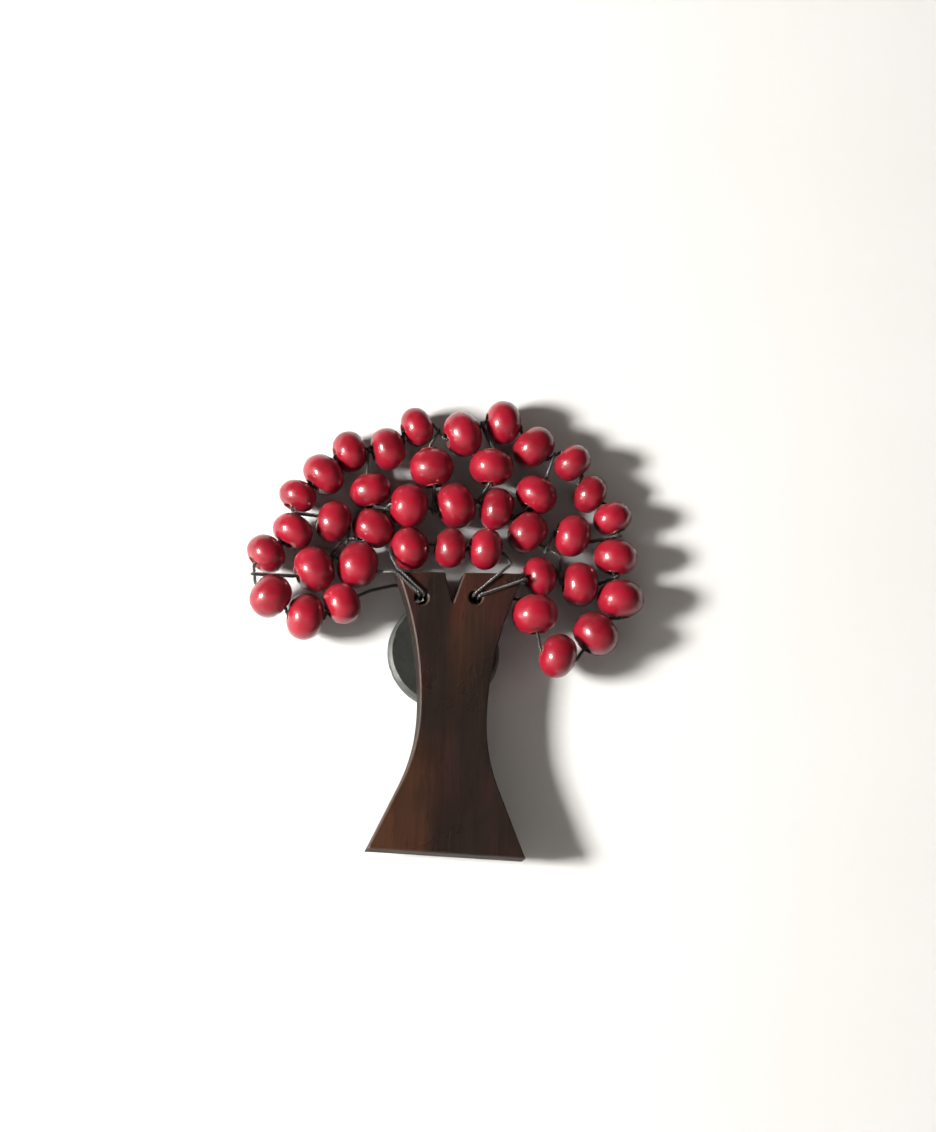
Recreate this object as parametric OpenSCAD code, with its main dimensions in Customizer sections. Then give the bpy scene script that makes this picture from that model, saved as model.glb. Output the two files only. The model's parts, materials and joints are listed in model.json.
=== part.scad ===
// Bead tree magnet: a flat wooden trunk whose two prongs carry a fan of lacquered
// wooden beads strung on thin dark cord, with a round magnet glued behind the trunk.
// +Z runs up the trunk and the front faces -Y.
// The origin is the centre of the magnet's back face, which sits on the surface y = 0.

/* [Trunk] */
// Width across the foot
foot_w = 25.2; // [22:0.1:28]
// Width at the waist
waist_w = 10.8; // [9:0.1:12]
// Width across the two prongs
crown_w = 20.8; // [19:0.1:22]
// Thickness of the board
trunk_t = 4.5; // [4:0.1:5]
// Slope of the flared foot, from the trunk's axis
flare_angle = 24; // [22:1:26]
// Slope of the sawn top, which rises to the right
top_slope = 3.5; // [0:0.5:5]
// Width of the notch between the prongs
notch_w = 3.2; // [2:0.1:3.4]
// Depth of the notch
notch_depth = 5.2; // [4:0.1:6]
// Diameter of the two cord holes
hole_d = 2.2; // [2.2:0.1:2.6]

/* [Magnet] */
// Diameter of the magnet
magnet_d = 18; // [16:0.5:18]
// Thickness of the magnet
magnet_t = 3; // [2.5:0.5:3]
// Width of the bevel round each face of the magnet
magnet_bevel = 0.5; // [0.3:0.1:0.6]
// Thickness of the glue between the magnet and the trunk
glue_t = 0.3; // [0.2:0.1:0.5]

/* [Beads] */
// Length taken off every bead along its bore
bead_trim = 0; // [0:0.05:0.4]
// Diameter of the bore through a bead
bore_d = 1.6; // [1.6:0.1:1.8]
// Diameter of the dished mouth at each end of the bore
mouth_d = 2.8; // [2.6:0.1:3]
// Depth of the dished mouth
mouth_depth = 0.6; // [0.5:0.05:0.7]

/* [Cord] */
// Diameter of the cord
cord_d = 0.4; // [0.3:0.05:0.4]
// Distance of each leg of a spoke's loop from the middle of its bead
leg_offset = 0.45; // [0.3:0.05:0.5]
// Radius of the bight where a spoke's loop passes round another cord
bight_r = 0.5; // [0.45:0.05:0.55]

/* [Hidden] */
trunk_x = 1.3;      // the trunk's axis, beside the magnet's
foot_z = -33.2;     // the sawn foot
waist_z = -11;      // the narrowest place
prong_z = 12.2;     // the top, measured on the axis
notch_x = 0.4;      // the bottom of the notch
holes = [[-4.75, 7.5], [4, 8.25]];
bead_facets = 96;
cord_sides = 8;
bight_steps = 4;
cord_lead = 0.2;    // straight stretch of cord outside each bead

// Rim strand, from the left prong round to the right: place of each bead's middle, its
// diameter, the direction of its bore in degrees above +X, and its length along the bore.
rim_beads = [
    [-17.25, -5.75, 6, 6.75, -150, 5.4],
    [-23, -5.25, 3.5, 7.5, 175, 5.7],
    [-28.75, -6.25, 6.25, 7.25, 145, 6.05],
    [-29.75, -4.5, 13.5, 6.75, 45, 5.15],
    [-25.75, -4.75, 17.5, 6.75, 65, 5.05],
    [-25.25, -4.25, 23.5, 6.25, 65, 4.65],
    [-21.25, -4, 27.5, 7.25, 50, 5.4],
    [-17.25, -3.75, 31.75, 6.75, 20, 5.05],
    [-11, -3.75, 32.75, 7, 20, 5.3],
    [-6.5, -4, 36.75, 6.5, 25, 4.85],
    [1, -4.75, 36, 7.5, 25, 5.7],
    [7.75, -4, 38.75, 7.25, 0, 5.65],
    [13, -4, 35, 7.5, -45, 5.6],
    [19.5, -4.5, 32.75, 6.5, -45, 4.9],
    [22.75, -3.5, 28, 6.5, -30, 4.9],
    [26.5, -4.25, 24, 6.5, -65, 4.9],
    [27.25, -4.25, 17.5, 7.25, -95, 5.5],
    [28.25, -4.5, 10.5, 7.75, -85, 6.2],
    [24.25, -5.25, 4.25, 7.75, -125, 6.25],
    [18, -6.25, 0, 7.25, 165, 5.65],
    [14, -6.25, 6.5, 7.5, 100, 6.15]
];

// Arc strand, the second row of beads, from left to right.
arc_beads = [
    [-15, -4.75, 12.75, 7.5, 165, 6.45],
    [-12.75, -3.75, 19.25, 7, 60, 5.7],
    [-7.25, -4.5, 23.25, 7.25, 0, 6.2],
    [0.5, -4.25, 24, 7.5, 25, 6],
    [7.25, -4.25, 24, 7, -15, 5.25],
    [12.5, -4.25, 20.5, 7, -40, 5.85],
    [14.75, -4.5, 13.25, 6.5, 200, 5.35]
];

// Spoke beads, each between the arc strand and the rim strand, bore pointing outwards.
spoke_beads = [
    [-22, -4.75, 11.5, 7.5, 205, 6.15],
    [-19.25, -4.25, 19.75, 6.75, 165, 5.5],
    [-13.5, -3.75, 25.5, 6.75, 105, 5.25],
    [-3.75, -4.5, 30, 7.25, 100, 6.55],
    [6, -5, 30.75, 7.25, 85, 5.8],
    [13.75, -4.25, 27, 7, 60, 5.7],
    [20, -4.25, 20.5, 7, -15, 5.7],
    [21.5, -4.25, 12.5, 7.25, 5, 5.65]
];

// Short row of beads that closes the fan just above the prongs.
crown_beads = [
    [-6.75, -5.25, 16, 7, 20, 6.15],
    [-0.25, -5.75, 16.5, 6.5, -5, 5.05],
    [5.5, -6, 16.75, 6.75, -5, 5.25]
];

// Rim beads on either side of each spoke's outer end, by place along the strand.
spoke_gaps = [2, 4, 7, 9, 10, 12, 15, 16];

// Knots behind the two holes, above the magnet.
left_knot_at = [-5, -1.9, 10.4];
right_knot_at = [4, -1.9, 11];
knot_r = 0.85;
tail_length = 1;

// Ways of the three strands round the ends of the rows, and through the holes to the knots.
rim_start = [left_knot_at, [-8.5, -2, 10.5], [-12.5, -3.5, 9]];
rim_end = [[11.5, -3, 9.5], [8, -2, 10.3], right_knot_at];
arc_start = [left_knot_at, [-5.15, -3, 8.1], [-5.15, -8.1, 8.1], [-9.5, -8.3, 11.5]];
arc_left = [[-19.5, -4.5, 14], [-17.75, -3, 16.75], [-16, -4.25, 17.25]];
arc_right = [[15.75, -4, 18], [18.25, -3.75, 17], [18.25, -4.5, 14.25]];
arc_end = [
    [12.2, -5.5, 11.8], [12.1, -8.2, 11.8],
    [4.5, -8.1, 8.55], [4.5, -3, 8.55], right_knot_at
];
crown_start = [
    left_knot_at, [-4.4, -3, 8.2], [-4.4, -8.1, 8.2],
    [-8.8, -8.2, 11.9], [-9.9, -6.3, 14.6]
];
crown_end = [
    [9.7, -7, 14.4], [7.9, -8.2, 12.6],
    [3.7, -8.1, 8.65], [3.7, -3, 8.65], right_knot_at
];

function unit(v) = v / norm(v);
function middle(b) = [b[0], b[1], b[2]];
function along(b) = [cos(b[4]), 0, sin(b[4])];
function half_length(b) = (b[5] - bead_trim) / 2;
function lead(b, side) = middle(b) + side * (half_length(b) + cord_lead) * along(b);
function through(b) = [lead(b, -1), lead(b, 1)];
function through_all(beads) = [for (b = beads) each through(b)];
function between(a, b) = (lead(a, 1) + lead(b, -1)) / 2;

// Where each spoke's loop passes round the rim strand and round the arc strand.
outer_ends = [for (i = spoke_gaps) between(rim_beads[i], rim_beads[i + 1])];
inner_ends = [
    (lead(arc_beads[0], 1) + arc_left[0]) / 2,
    (arc_left[1] + arc_left[2]) / 2,
    for (i = [1 : 4]) between(arc_beads[i], arc_beads[i + 1]),
    arc_right[0],
    (arc_right[2] + lead(arc_beads[6], -1)) / 2
];

rim_route = concat(rim_start, through_all(rim_beads), rim_end);
arc_route = concat(
    arc_start,
    through(arc_beads[0]),
    arc_left,
    through_all([for (i = [1 : 5]) arc_beads[i]]),
    arc_right,
    through(arc_beads[6]),
    arc_end
);
crown_route = concat(crown_start, through_all(crown_beads), crown_end);

// A cord along a list of points. Each ring of its skin stands across the bend at its
// point, and is carried on from the ring before, so that the skin doesn't twist.
function headings(p, closed) = let (n = len(p)) [
    for (i = [0 : n - 1])
        let (
            back = closed || i > 0 ? unit(p[i] - p[(i + n - 1) % n]) : [0, 0, 0],
            on = closed || i < n - 1 ? unit(p[(i + 1) % n] - p[i]) : [0, 0, 0]
        ) unit(back + on)
];
function across(v, heading) = unit(v - (v * heading) * heading);
function carried(h, v, i = 0) = i == len(h) ? []
    : let (w = across(v, h[i])) concat([w], carried(h, w, i + 1));
module cord(points, start, closed = false) {
    h = headings(points, closed);
    v = carried(h, start);
    n = len(points);
    rings = [
        for (i = [0 : n - 1], k = [0 : cord_sides - 1])
            let (a = 360 * k / cord_sides)
            points[i] + cord_d / 2 * (cos(a) * v[i] + sin(a) * cross(h[i], v[i]))
    ];
    walls = [
        for (i = [0 : closed ? n - 1 : n - 2], k = [0 : cord_sides - 1])
            let (j = (i + 1) % n, m = (k + 1) % cord_sides)
            [i * cord_sides + k, j * cord_sides + k, j * cord_sides + m, i * cord_sides + m]
    ];
    caps = closed ? [] : [
        [for (k = [0 : cord_sides - 1]) k],
        [for (k = [cord_sides - 1 : -1 : 0]) (n - 1) * cord_sides + k]
    ];
    color("#241d1b") polyhedron(rings, concat(walls, caps), convexity = 10);
}

// One turn of cord round the place end, coming from the place from: from the near leg,
// over the far side, and back to the other leg.
function bight(end, from, first) = [
    for (k = [0 : bight_steps])
        let (a = 180 * k / bight_steps)
        end + bight_r * (first * cos(a) * [0, 1, 0] + sin(a) * unit(end - from))
];
module spoke_cord(i) {
    b = spoke_beads[i];
    leg = [0, leg_offset, 0];
    points = concat(
        [lead(b, -1) - leg, lead(b, 1) - leg],
        bight(outer_ends[i], lead(b, 1), -1),
        [lead(b, 1) + leg, lead(b, -1) + leg],
        bight(inner_ends[i], lead(b, -1), 1)
    );
    cord(points, cross(along(b), [0, 1, 0]), closed = true);
}

// Half of a bead's section: a disc with a fully rounded edge, bored and dished.
module bead_section(b) {
    d = b[3];
    half = half_length(b);
    bore_r = bore_d / 2;
    dish = (mouth_d - bore_d) / 2 / mouth_depth;
    difference() {
        union() {
            translate([d / 2 - half, 0]) circle(r = half, $fn = bead_facets);
            translate([0, -half]) square([d / 2 - half, 2 * half]);
        }
        translate([-d, -d]) square([d + bore_r, 2 * d]);
        for (side = [-1, 1])
            polygon([
                [0, side * (half - mouth_depth - bore_r / dish)],
                [mouth_d / 2 + dish, side * (half + 1)],
                [0, side * (half + 1)]
            ]);
    }
}
module bead(b) {
    color("#a8152b")
        translate(middle(b))
            rotate([0, 90 - b[4], 0])
                rotate_extrude($fn = bead_facets) bead_section(b);
}

// What the right-hand scoop takes off the blank: a long arc above the waist, then a
// tighter arc below it that runs out into the straight flare of the foot.
module side_scoop() {
    rise = prong_z - waist_z;
    spread = (crown_w - waist_w) / 2;
    upper_r = (pow(rise, 2) + pow(spread, 2)) / (2 * spread);
    fall = waist_z - foot_z;
    flare = (foot_w - waist_w) / 2;
    lower_r = (fall * tan(flare_angle) - flare) / (1 / cos(flare_angle) - 1);
    run_out = [
        waist_w / 2 + lower_r * (1 - cos(flare_angle)),
        waist_z - lower_r * sin(flare_angle)
    ];
    intersection() {
        translate([waist_w / 2 + upper_r, waist_z]) circle(r = upper_r, $fn = 240);
        translate([0, waist_z]) square([foot_w, 2 * rise]);
    }
    intersection() {
        translate([waist_w / 2 + lower_r, waist_z]) circle(r = lower_r, $fn = 240);
        translate([0, run_out[1]]) square([foot_w, waist_z - run_out[1]]);
    }
    polygon([run_out, [foot_w / 2, foot_z], [foot_w, foot_z], [foot_w, run_out[1]]]);
}
module trunk_outline() {
    difference() {
        translate([trunk_x, 0]) difference() {
            translate([-foot_w / 2, foot_z]) square([foot_w, prong_z - foot_z + 4]);
            side_scoop();
            mirror([1, 0]) side_scoop();
            translate([0, prong_z]) rotate(top_slope) translate([-foot_w, 0]) square(2 * foot_w);
        }
        translate([notch_x, prong_z]) polygon([
            [0, -notch_depth],
            [notch_w, notch_depth],
            [-notch_w, notch_depth]
        ]);
        for (h = holes) translate(h) circle(d = hole_d, $fn = 64);
    }
}
// Stands a flat outline up, its lower face at the depth given in front of the origin.
module stand(depth, thick) {
    rotate([90, 0, 0]) translate([0, 0, depth]) linear_extrude(thick) children();
}
module trunk() {
    color("#3b2920") stand(magnet_t + glue_t, trunk_t) trunk_outline();
}
module magnet() {
    r = magnet_d / 2;
    color("#3a3d39")
        rotate([90, 0, 0])
            rotate_extrude($fn = 180)
                polygon([
                    [0, 0],
                    [r - magnet_bevel, 0],
                    [r, magnet_bevel],
                    [r, magnet_t - magnet_bevel],
                    [r - magnet_bevel, magnet_t],
                    [0, magnet_t]
                ]);
}
module glue_pad() {
    color("#cfc7b0") stand(magnet_t, glue_t) intersection() {
        trunk_outline();
        circle(d = magnet_d - 2 * magnet_bevel - 2, $fn = 120);
    }
}
// A pulled-down overhand knot with the two cut ends of the cord standing out of it.
module knot(place, lean) {
    color("#241d1b") translate(place) {
        rotate([90, 0, 0]) sphere(r = knot_r, $fn = 48);
        for (side = [-1, 1])
            rotate([0, side * 35 + lean, 0])
                translate([0, 0, knot_r - 0.25]) cylinder(d = cord_d, h = tail_length, $fn = 24);
    }
}

trunk();
magnet();
glue_pad();
cord(rim_route, [0, 0, 1]);  // rim_cord
cord(arc_route, [0, 0, 1]);  // arc_cord
cord(crown_route, [1, 0, 0]);  // crown_cord
knot(left_knot_at, -20);  // left_knot
knot(right_knot_at, 15);  // right_knot
for (i = [0 : len(spoke_beads) - 1])
    spoke_cord(i);
for (i = [0 : len(rim_beads) - 1])
    bead(rim_beads[i]);
for (i = [0 : len(arc_beads) - 1])
    bead(arc_beads[i]);
for (i = [0 : len(spoke_beads) - 1])
    bead(spoke_beads[i]);
for (i = [0 : len(crown_beads) - 1])
    bead(crown_beads[i]);
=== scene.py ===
"""Looks for the bead tree magnet: turned beads, twisted cords, a sawn trunk and its magnet.

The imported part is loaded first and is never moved. Every bead, cord and board made here
takes its place and its size from it, and rides on one of its bodies.
"""

import json
import logging
import math
from dataclasses import dataclass, field
from enum import Enum
from typing import Any, Iterable, Mapping, Sequence

import bmesh
import bpy
import numpy as np
from mathutils import Matrix, Vector, geometry, kdtree, noise

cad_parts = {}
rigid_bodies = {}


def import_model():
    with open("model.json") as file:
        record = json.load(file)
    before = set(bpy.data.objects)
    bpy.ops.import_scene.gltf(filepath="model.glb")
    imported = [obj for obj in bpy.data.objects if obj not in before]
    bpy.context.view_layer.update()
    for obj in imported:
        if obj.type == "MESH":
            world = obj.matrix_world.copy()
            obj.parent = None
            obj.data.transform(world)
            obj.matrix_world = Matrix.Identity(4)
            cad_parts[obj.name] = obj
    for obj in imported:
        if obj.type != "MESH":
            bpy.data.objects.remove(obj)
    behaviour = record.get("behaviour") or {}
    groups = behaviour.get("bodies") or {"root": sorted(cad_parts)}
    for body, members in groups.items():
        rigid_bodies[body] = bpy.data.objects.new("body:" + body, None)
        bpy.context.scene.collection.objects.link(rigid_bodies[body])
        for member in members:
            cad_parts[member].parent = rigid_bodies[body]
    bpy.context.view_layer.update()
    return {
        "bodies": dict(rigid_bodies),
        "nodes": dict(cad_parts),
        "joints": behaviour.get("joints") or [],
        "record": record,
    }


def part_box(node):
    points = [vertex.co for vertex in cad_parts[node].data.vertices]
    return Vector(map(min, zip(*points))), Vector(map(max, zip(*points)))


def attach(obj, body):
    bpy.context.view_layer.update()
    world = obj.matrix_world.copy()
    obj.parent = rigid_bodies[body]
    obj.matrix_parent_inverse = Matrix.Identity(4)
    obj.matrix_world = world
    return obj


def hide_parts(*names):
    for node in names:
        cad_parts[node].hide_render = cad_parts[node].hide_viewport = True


log = logging.getLogger("bead_tree")

MM = 0.001
FRAME_BODY = "tree_frame"

Colour = tuple[float, float, float, float]
Socket = bpy.types.NodeSocket


class Strand(Enum):
    """The four runs of beads, by the word their nodes start with."""

    RIM = "rim"
    ARC = "arc"
    SPOKE = "spoke"
    CROWN = "crown"


class Slot(Enum):
    """The record's material slots."""

    BEAD = "bead_lacquer"
    TRUNK = "trunk_wood"
    MAGNET = "ferrite"
    CORD = "cord"
    GLUE = "glue"


# ---------------------------------------------------------------- node trees


class Graph:
    """A node tree being built, with short calls that add a node and wire it at once."""

    def __init__(self, tree: bpy.types.NodeTree) -> None:
        """Starts on a tree.

        Args:
            tree: the shader or geometry tree to add nodes to.
        """
        self.tree = tree

    @staticmethod
    def find(sockets: Iterable[Socket], key: int | str) -> Socket:
        """Finds a socket.

        Args:
            sockets: a node's inputs or outputs.
            key: the socket's place, identifier or name.

        Returns:
            The socket, an enabled one if several share the name.
        """
        listed = list(sockets)
        if isinstance(key, int):
            return listed[key]
        by_identifier = [s for s in listed if s.identifier == key]
        by_name = [s for s in listed if s.name == key and s.enabled]
        return (by_identifier + by_name)[0]

    def feed(self, socket: Socket, value: Any) -> None:
        """Links a socket to another, or sets it.

        Args:
            socket: the input to fill.
            value: an output socket, or a plain value.
        """
        if isinstance(value, Socket):
            self.tree.links.new(value, socket)
        else:
            socket.default_value = value

    def node(self, kind: str, feeds: Mapping[int | str, Any] | None = None, **settings: Any) -> Any:
        """Adds a node.

        Args:
            kind: the node's type name.
            feeds: what goes into each of its inputs.
            settings: properties set on the node before its inputs are filled.

        Returns:
            The new node.
        """
        made = self.tree.nodes.new(kind)
        for name, setting in settings.items():
            setattr(made, name, setting)
        for key, value in (feeds or {}).items():
            self.feed(self.find(made.inputs, key), value)
        return made

    def out(self, kind: str, key: int | str, feeds: Mapping[int | str, Any] | None = None,
            **settings: Any) -> Socket:
        """Adds a node and hands back one of its outputs.

        Args:
            kind: the node's type name.
            key: the output wanted.
            feeds: what goes into each input.
            settings: properties of the node.

        Returns:
            The output socket.
        """
        return self.find(self.node(kind, feeds, **settings).outputs, key)

    def calc(self, operation: str, *values: Any) -> Socket:
        """One Math node.

        Args:
            operation: the node's operation.
            values: up to three numbers or sockets.

        Returns:
            The result.
        """
        return self.out("ShaderNodeMath", 0, dict(enumerate(values)), operation=operation)

    def vector(self, operation: str, *values: Any, key: str = "Vector") -> Socket:
        """One Vector Math node.

        Args:
            operation: the node's operation.
            values: vectors, or sockets.
            key: the output wanted.

        Returns:
            The result.
        """
        return self.out("ShaderNodeVectorMath", key, dict(enumerate(values)), operation=operation)

    def remap(self, value: Any, low: float, high: float, start: Any = 0.0, end: Any = 1.0) -> Socket:
        """Eases a value from one range into another.

        Args:
            value: the value to map.
            low: where the result is start.
            high: where the result is end.
            start: the result at low.
            end: the result at high.

        Returns:
            The clamped result.
        """
        feeds = {0: value, 1: low, 2: high, 3: start, 4: end}
        return self.out("ShaderNodeMapRange", 0, feeds, interpolation_type="SMOOTHSTEP")

    def blend(self, share: Any, first: Any, second: Any, mode: str = "MIX") -> Socket:
        """Mixes two colours.

        Args:
            share: how much of the second is used.
            first: the colour underneath.
            second: the colour laid over it.
            mode: the blend mode.

        Returns:
            The mixed colour.
        """
        feeds = {"Factor_Float": share, "A_Color": first, "B_Color": second}
        return self.out("ShaderNodeMix", "Result_Color", feeds, data_type="RGBA", blend_type=mode)

    def noise(self, place: Any, scale: Any, detail: float = 3.0, rough: float = 0.5,
              warp: float = 0.0) -> Socket:
        """A noise value.

        Args:
            place: the coordinates.
            scale: features per unit of the coordinates.
            detail: octaves.
            rough: strength of each finer octave.
            warp: how far the noise bends itself.

        Returns:
            The value, about 0.5 on average.
        """
        feeds = {"Vector": place, "Scale": scale, "Detail": detail, "Roughness": rough,
                 "Distortion": warp}
        return self.out("ShaderNodeTexNoise", 0, feeds)

    def bump(self, height: Any, distance: float, strength: float = 1.0,
             normal: Socket | None = None) -> Socket:
        """Raises the surface.

        Args:
            height: the height, 0 to 1.
            distance: how far 1 stands out, in metres.
            strength: share of the effect.
            normal: a normal to add it to.

        Returns:
            The bumped normal.
        """
        feeds = {"Height": height, "Distance": distance, "Strength": strength}
        if normal is not None:
            feeds["Normal"] = normal
        return self.out("ShaderNodeBump", "Normal", feeds)


@dataclass(frozen=True)
class EffectGroup:
    """A shader node group that several finishes place with their own values.

    Args:
        name: the group's name.
        inputs: each input's name and what it is when nothing is joined to it.
        outputs: each output's name.
    """

    name: str
    inputs: tuple[tuple[str, float | None], ...]
    outputs: tuple[str, ...]

    def tree(self) -> bpy.types.NodeTree:
        """Builds the group on first use.

        Returns:
            The group's node tree.
        """
        made = bpy.data.node_groups.get(self.name)
        if made:
            return made
        made = bpy.data.node_groups.new(self.name, "ShaderNodeTree")
        for name, value in self.inputs:
            kind = "NodeSocketVector" if value is None else "NodeSocketFloat"
            socket = made.interface.new_socket(name, in_out="INPUT", socket_type=kind)
            if value is not None:
                socket.default_value = value
        for name in self.outputs:
            made.interface.new_socket(name, in_out="OUTPUT", socket_type="NodeSocketFloat")
        graph = Graph(made)
        given = graph.node("NodeGroupInput")
        results = self.wire(graph, {s.name: s for s in given.outputs if s.name})
        graph.node("NodeGroupOutput", results)
        return made

    def wire(self, graph: Graph, given: Mapping[str, Socket]) -> dict[str, Socket]:
        """Wires the group.

        Args:
            graph: the group's tree.
            given: its input sockets by name.

        Returns:
            Its output values by name.
        """
        raise NotImplementedError

    def place(self, graph: Graph, **values: Any) -> Any:
        """Puts the group into a material.

        Args:
            graph: the material's tree.
            values: the inputs to set, with _ for a space in a name.

        Returns:
            The group node.
        """
        feeds = {name.replace("_", " "): value for name, value in values.items()}
        made = graph.node("ShaderNodeGroup", node_tree=self.tree())
        for name, value in feeds.items():
            graph.feed(graph.find(made.inputs, name), value)
        return made


class WoodGrain(EffectGroup):
    """Growth bands, long fibres and short open pores of a wood whose grain runs along Z."""

    def wire(self, graph: Graph, given: Mapping[str, Socket]) -> dict[str, Socket]:
        """Wires bands, fibres and pores; see EffectGroup.wire."""
        place = given["Vector"]
        sway = graph.noise(graph.vector("MULTIPLY", place, (1.0, 1.0, 0.45)), given["Band scale"], 2.0)
        drift = graph.vector("SCALE", (1.0, 0.6, 0.0), key="Vector")
        graph.feed(graph.find(drift.node.inputs, "Scale"), graph.calc("MULTIPLY", sway, given["Sway"]))
        bent = graph.vector("ADD", place, drift)
        across = graph.vector("MULTIPLY", bent, (1.0, 1.0, 0.06))
        bands = graph.noise(across, given["Band scale"], 3.0, 0.55, 0.6)
        fibres = graph.noise(
            graph.vector("MULTIPLY", bent, (1.0, 1.0, 0.035)), given["Fibre scale"], 4.0, 0.65)
        cells = graph.node(
            "ShaderNodeTexVoronoi",
            {"Vector": graph.vector("MULTIPLY", bent, (1.0, 1.0, 0.09)), "Scale": given["Pore scale"]},
        )
        open_pores = graph.remap(graph.find(cells.outputs, "Distance"), 0.10, 0.26, 1.0, 0.0)
        some = graph.remap(graph.noise(across, given["Fibre scale"], 2.0), 0.46, 0.60)
        pores = graph.calc("MULTIPLY", open_pores, some)
        relief = graph.calc("SUBTRACT", graph.calc("MULTIPLY", fibres, 0.6), pores)
        return {
            "Bands": graph.remap(bands, 0.32, 0.68),
            "Fibres": fibres,
            "Pores": pores,
            "Relief": relief,
        }


class EdgeWear(EffectGroup):
    """Where an edge is rubbed: broken up along it, and fading away from it."""

    def wire(self, graph: Graph, given: Mapping[str, Socket]) -> dict[str, Socket]:
        """Wires the rubbed edge; see EffectGroup.wire."""
        broken = graph.noise(given["Vector"], given["Breakup scale"], 5.0, 0.7)
        reach = graph.calc(
            "ADD", given["Edge"],
            graph.calc("MULTIPLY", graph.calc("SUBTRACT", broken, 0.5), 0.9))
        worn = graph.remap(reach, 0.45, 0.95)
        return {"Mask": graph.calc("MULTIPLY", worn, given["Amount"])}


class Unevenness(EffectGroup):
    """Slow and quick changes of tone over a surface, as a value about 0.5."""

    def wire(self, graph: Graph, given: Mapping[str, Socket]) -> dict[str, Socket]:
        """Wires the two tones; see EffectGroup.wire."""
        slow = graph.noise(given["Vector"], given["Slow scale"], 2.0)
        quick = graph.noise(given["Vector"], given["Quick scale"], 4.0, 0.6)
        return {"Slow": graph.remap(slow, 0.3, 0.7), "Quick": graph.remap(quick, 0.3, 0.7)}


class Dust(EffectGroup):
    """Fine dust, thicker on what faces up."""

    def wire(self, graph: Graph, given: Mapping[str, Socket]) -> dict[str, Socket]:
        """Wires the dust; see EffectGroup.wire."""
        facing = graph.out("ShaderNodeNewGeometry", "Normal")
        up = graph.out("ShaderNodeSeparateXYZ", "Z", {0: facing})
        lying = graph.remap(up, 0.1, 1.0, 0.15, 1.0)
        specks = graph.remap(graph.noise(given["Vector"], 5200.0, 2.0, 0.6), 0.56, 0.72)
        film = graph.noise(given["Vector"], 420.0, 3.0)
        mix = graph.calc("ADD", graph.calc("MULTIPLY", specks, 0.7), graph.calc("MULTIPLY", film, 0.3))
        return {"Mask": graph.calc("MULTIPLY", graph.calc("MULTIPLY", mix, lying), given["Amount"])}


WOOD_GRAIN = WoodGrain(
    "Wood grain",
    (("Vector", None), ("Band scale", 300.0), ("Sway", 0.002), ("Fibre scale", 3000.0),
     ("Pore scale", 2500.0)),
    ("Bands", "Fibres", "Pores", "Relief"),
)
EDGE_WEAR = EdgeWear(
    "Edge wear",
    (("Vector", None), ("Edge", 0.0), ("Breakup scale", 900.0), ("Amount", 1.0)), ("Mask",))
UNEVENNESS = Unevenness(
    "Unevenness",
    (("Vector", None), ("Slow scale", 120.0), ("Quick scale", 1200.0)), ("Slow", "Quick"))
DUST = Dust("Dust", (("Vector", None), ("Amount", 0.2)), ("Mask",))


# ------------------------------------------------------------------ finishes


@dataclass(frozen=True)
class Finish:
    """A surface finish, built once as a material and handed out again.

    Args:
        name: the material's name.
        slot: the record's slot that it stands for, or None on the stage; not used.
    """

    name: str
    slot: Slot | None = None

    def material(self) -> bpy.types.Material:
        """Builds the material on first use.

        Returns:
            The material.
        """
        made = bpy.data.materials.get(self.name)
        if made:
            return made
        made = bpy.data.materials.new(self.name)
        made.use_nodes = True
        made.node_tree.nodes.clear()
        graph = Graph(made.node_tree)
        graph.node("ShaderNodeOutputMaterial", {"Surface": self.surface(graph)})
        return made

    def surface(self, graph: Graph) -> Socket:
        """Wires the surface.

        Args:
            graph: the material's tree.

        Returns:
            The shader.
        """
        raise NotImplementedError

    @staticmethod
    def object_place(graph: Graph) -> Socket:
        """The point in the object's own space."""
        return graph.out("ShaderNodeTexCoord", "Object")

    @staticmethod
    def attribute(graph: Graph, name: str, key: str = "Fac") -> Socket:
        """A value that the mesh carries.

        Args:
            graph: the material's tree.
            name: the attribute.
            key: Fac for a number, Vector for a place.

        Returns:
            The value.
        """
        return graph.out("ShaderNodeAttribute", key, attribute_name=name)


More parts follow.
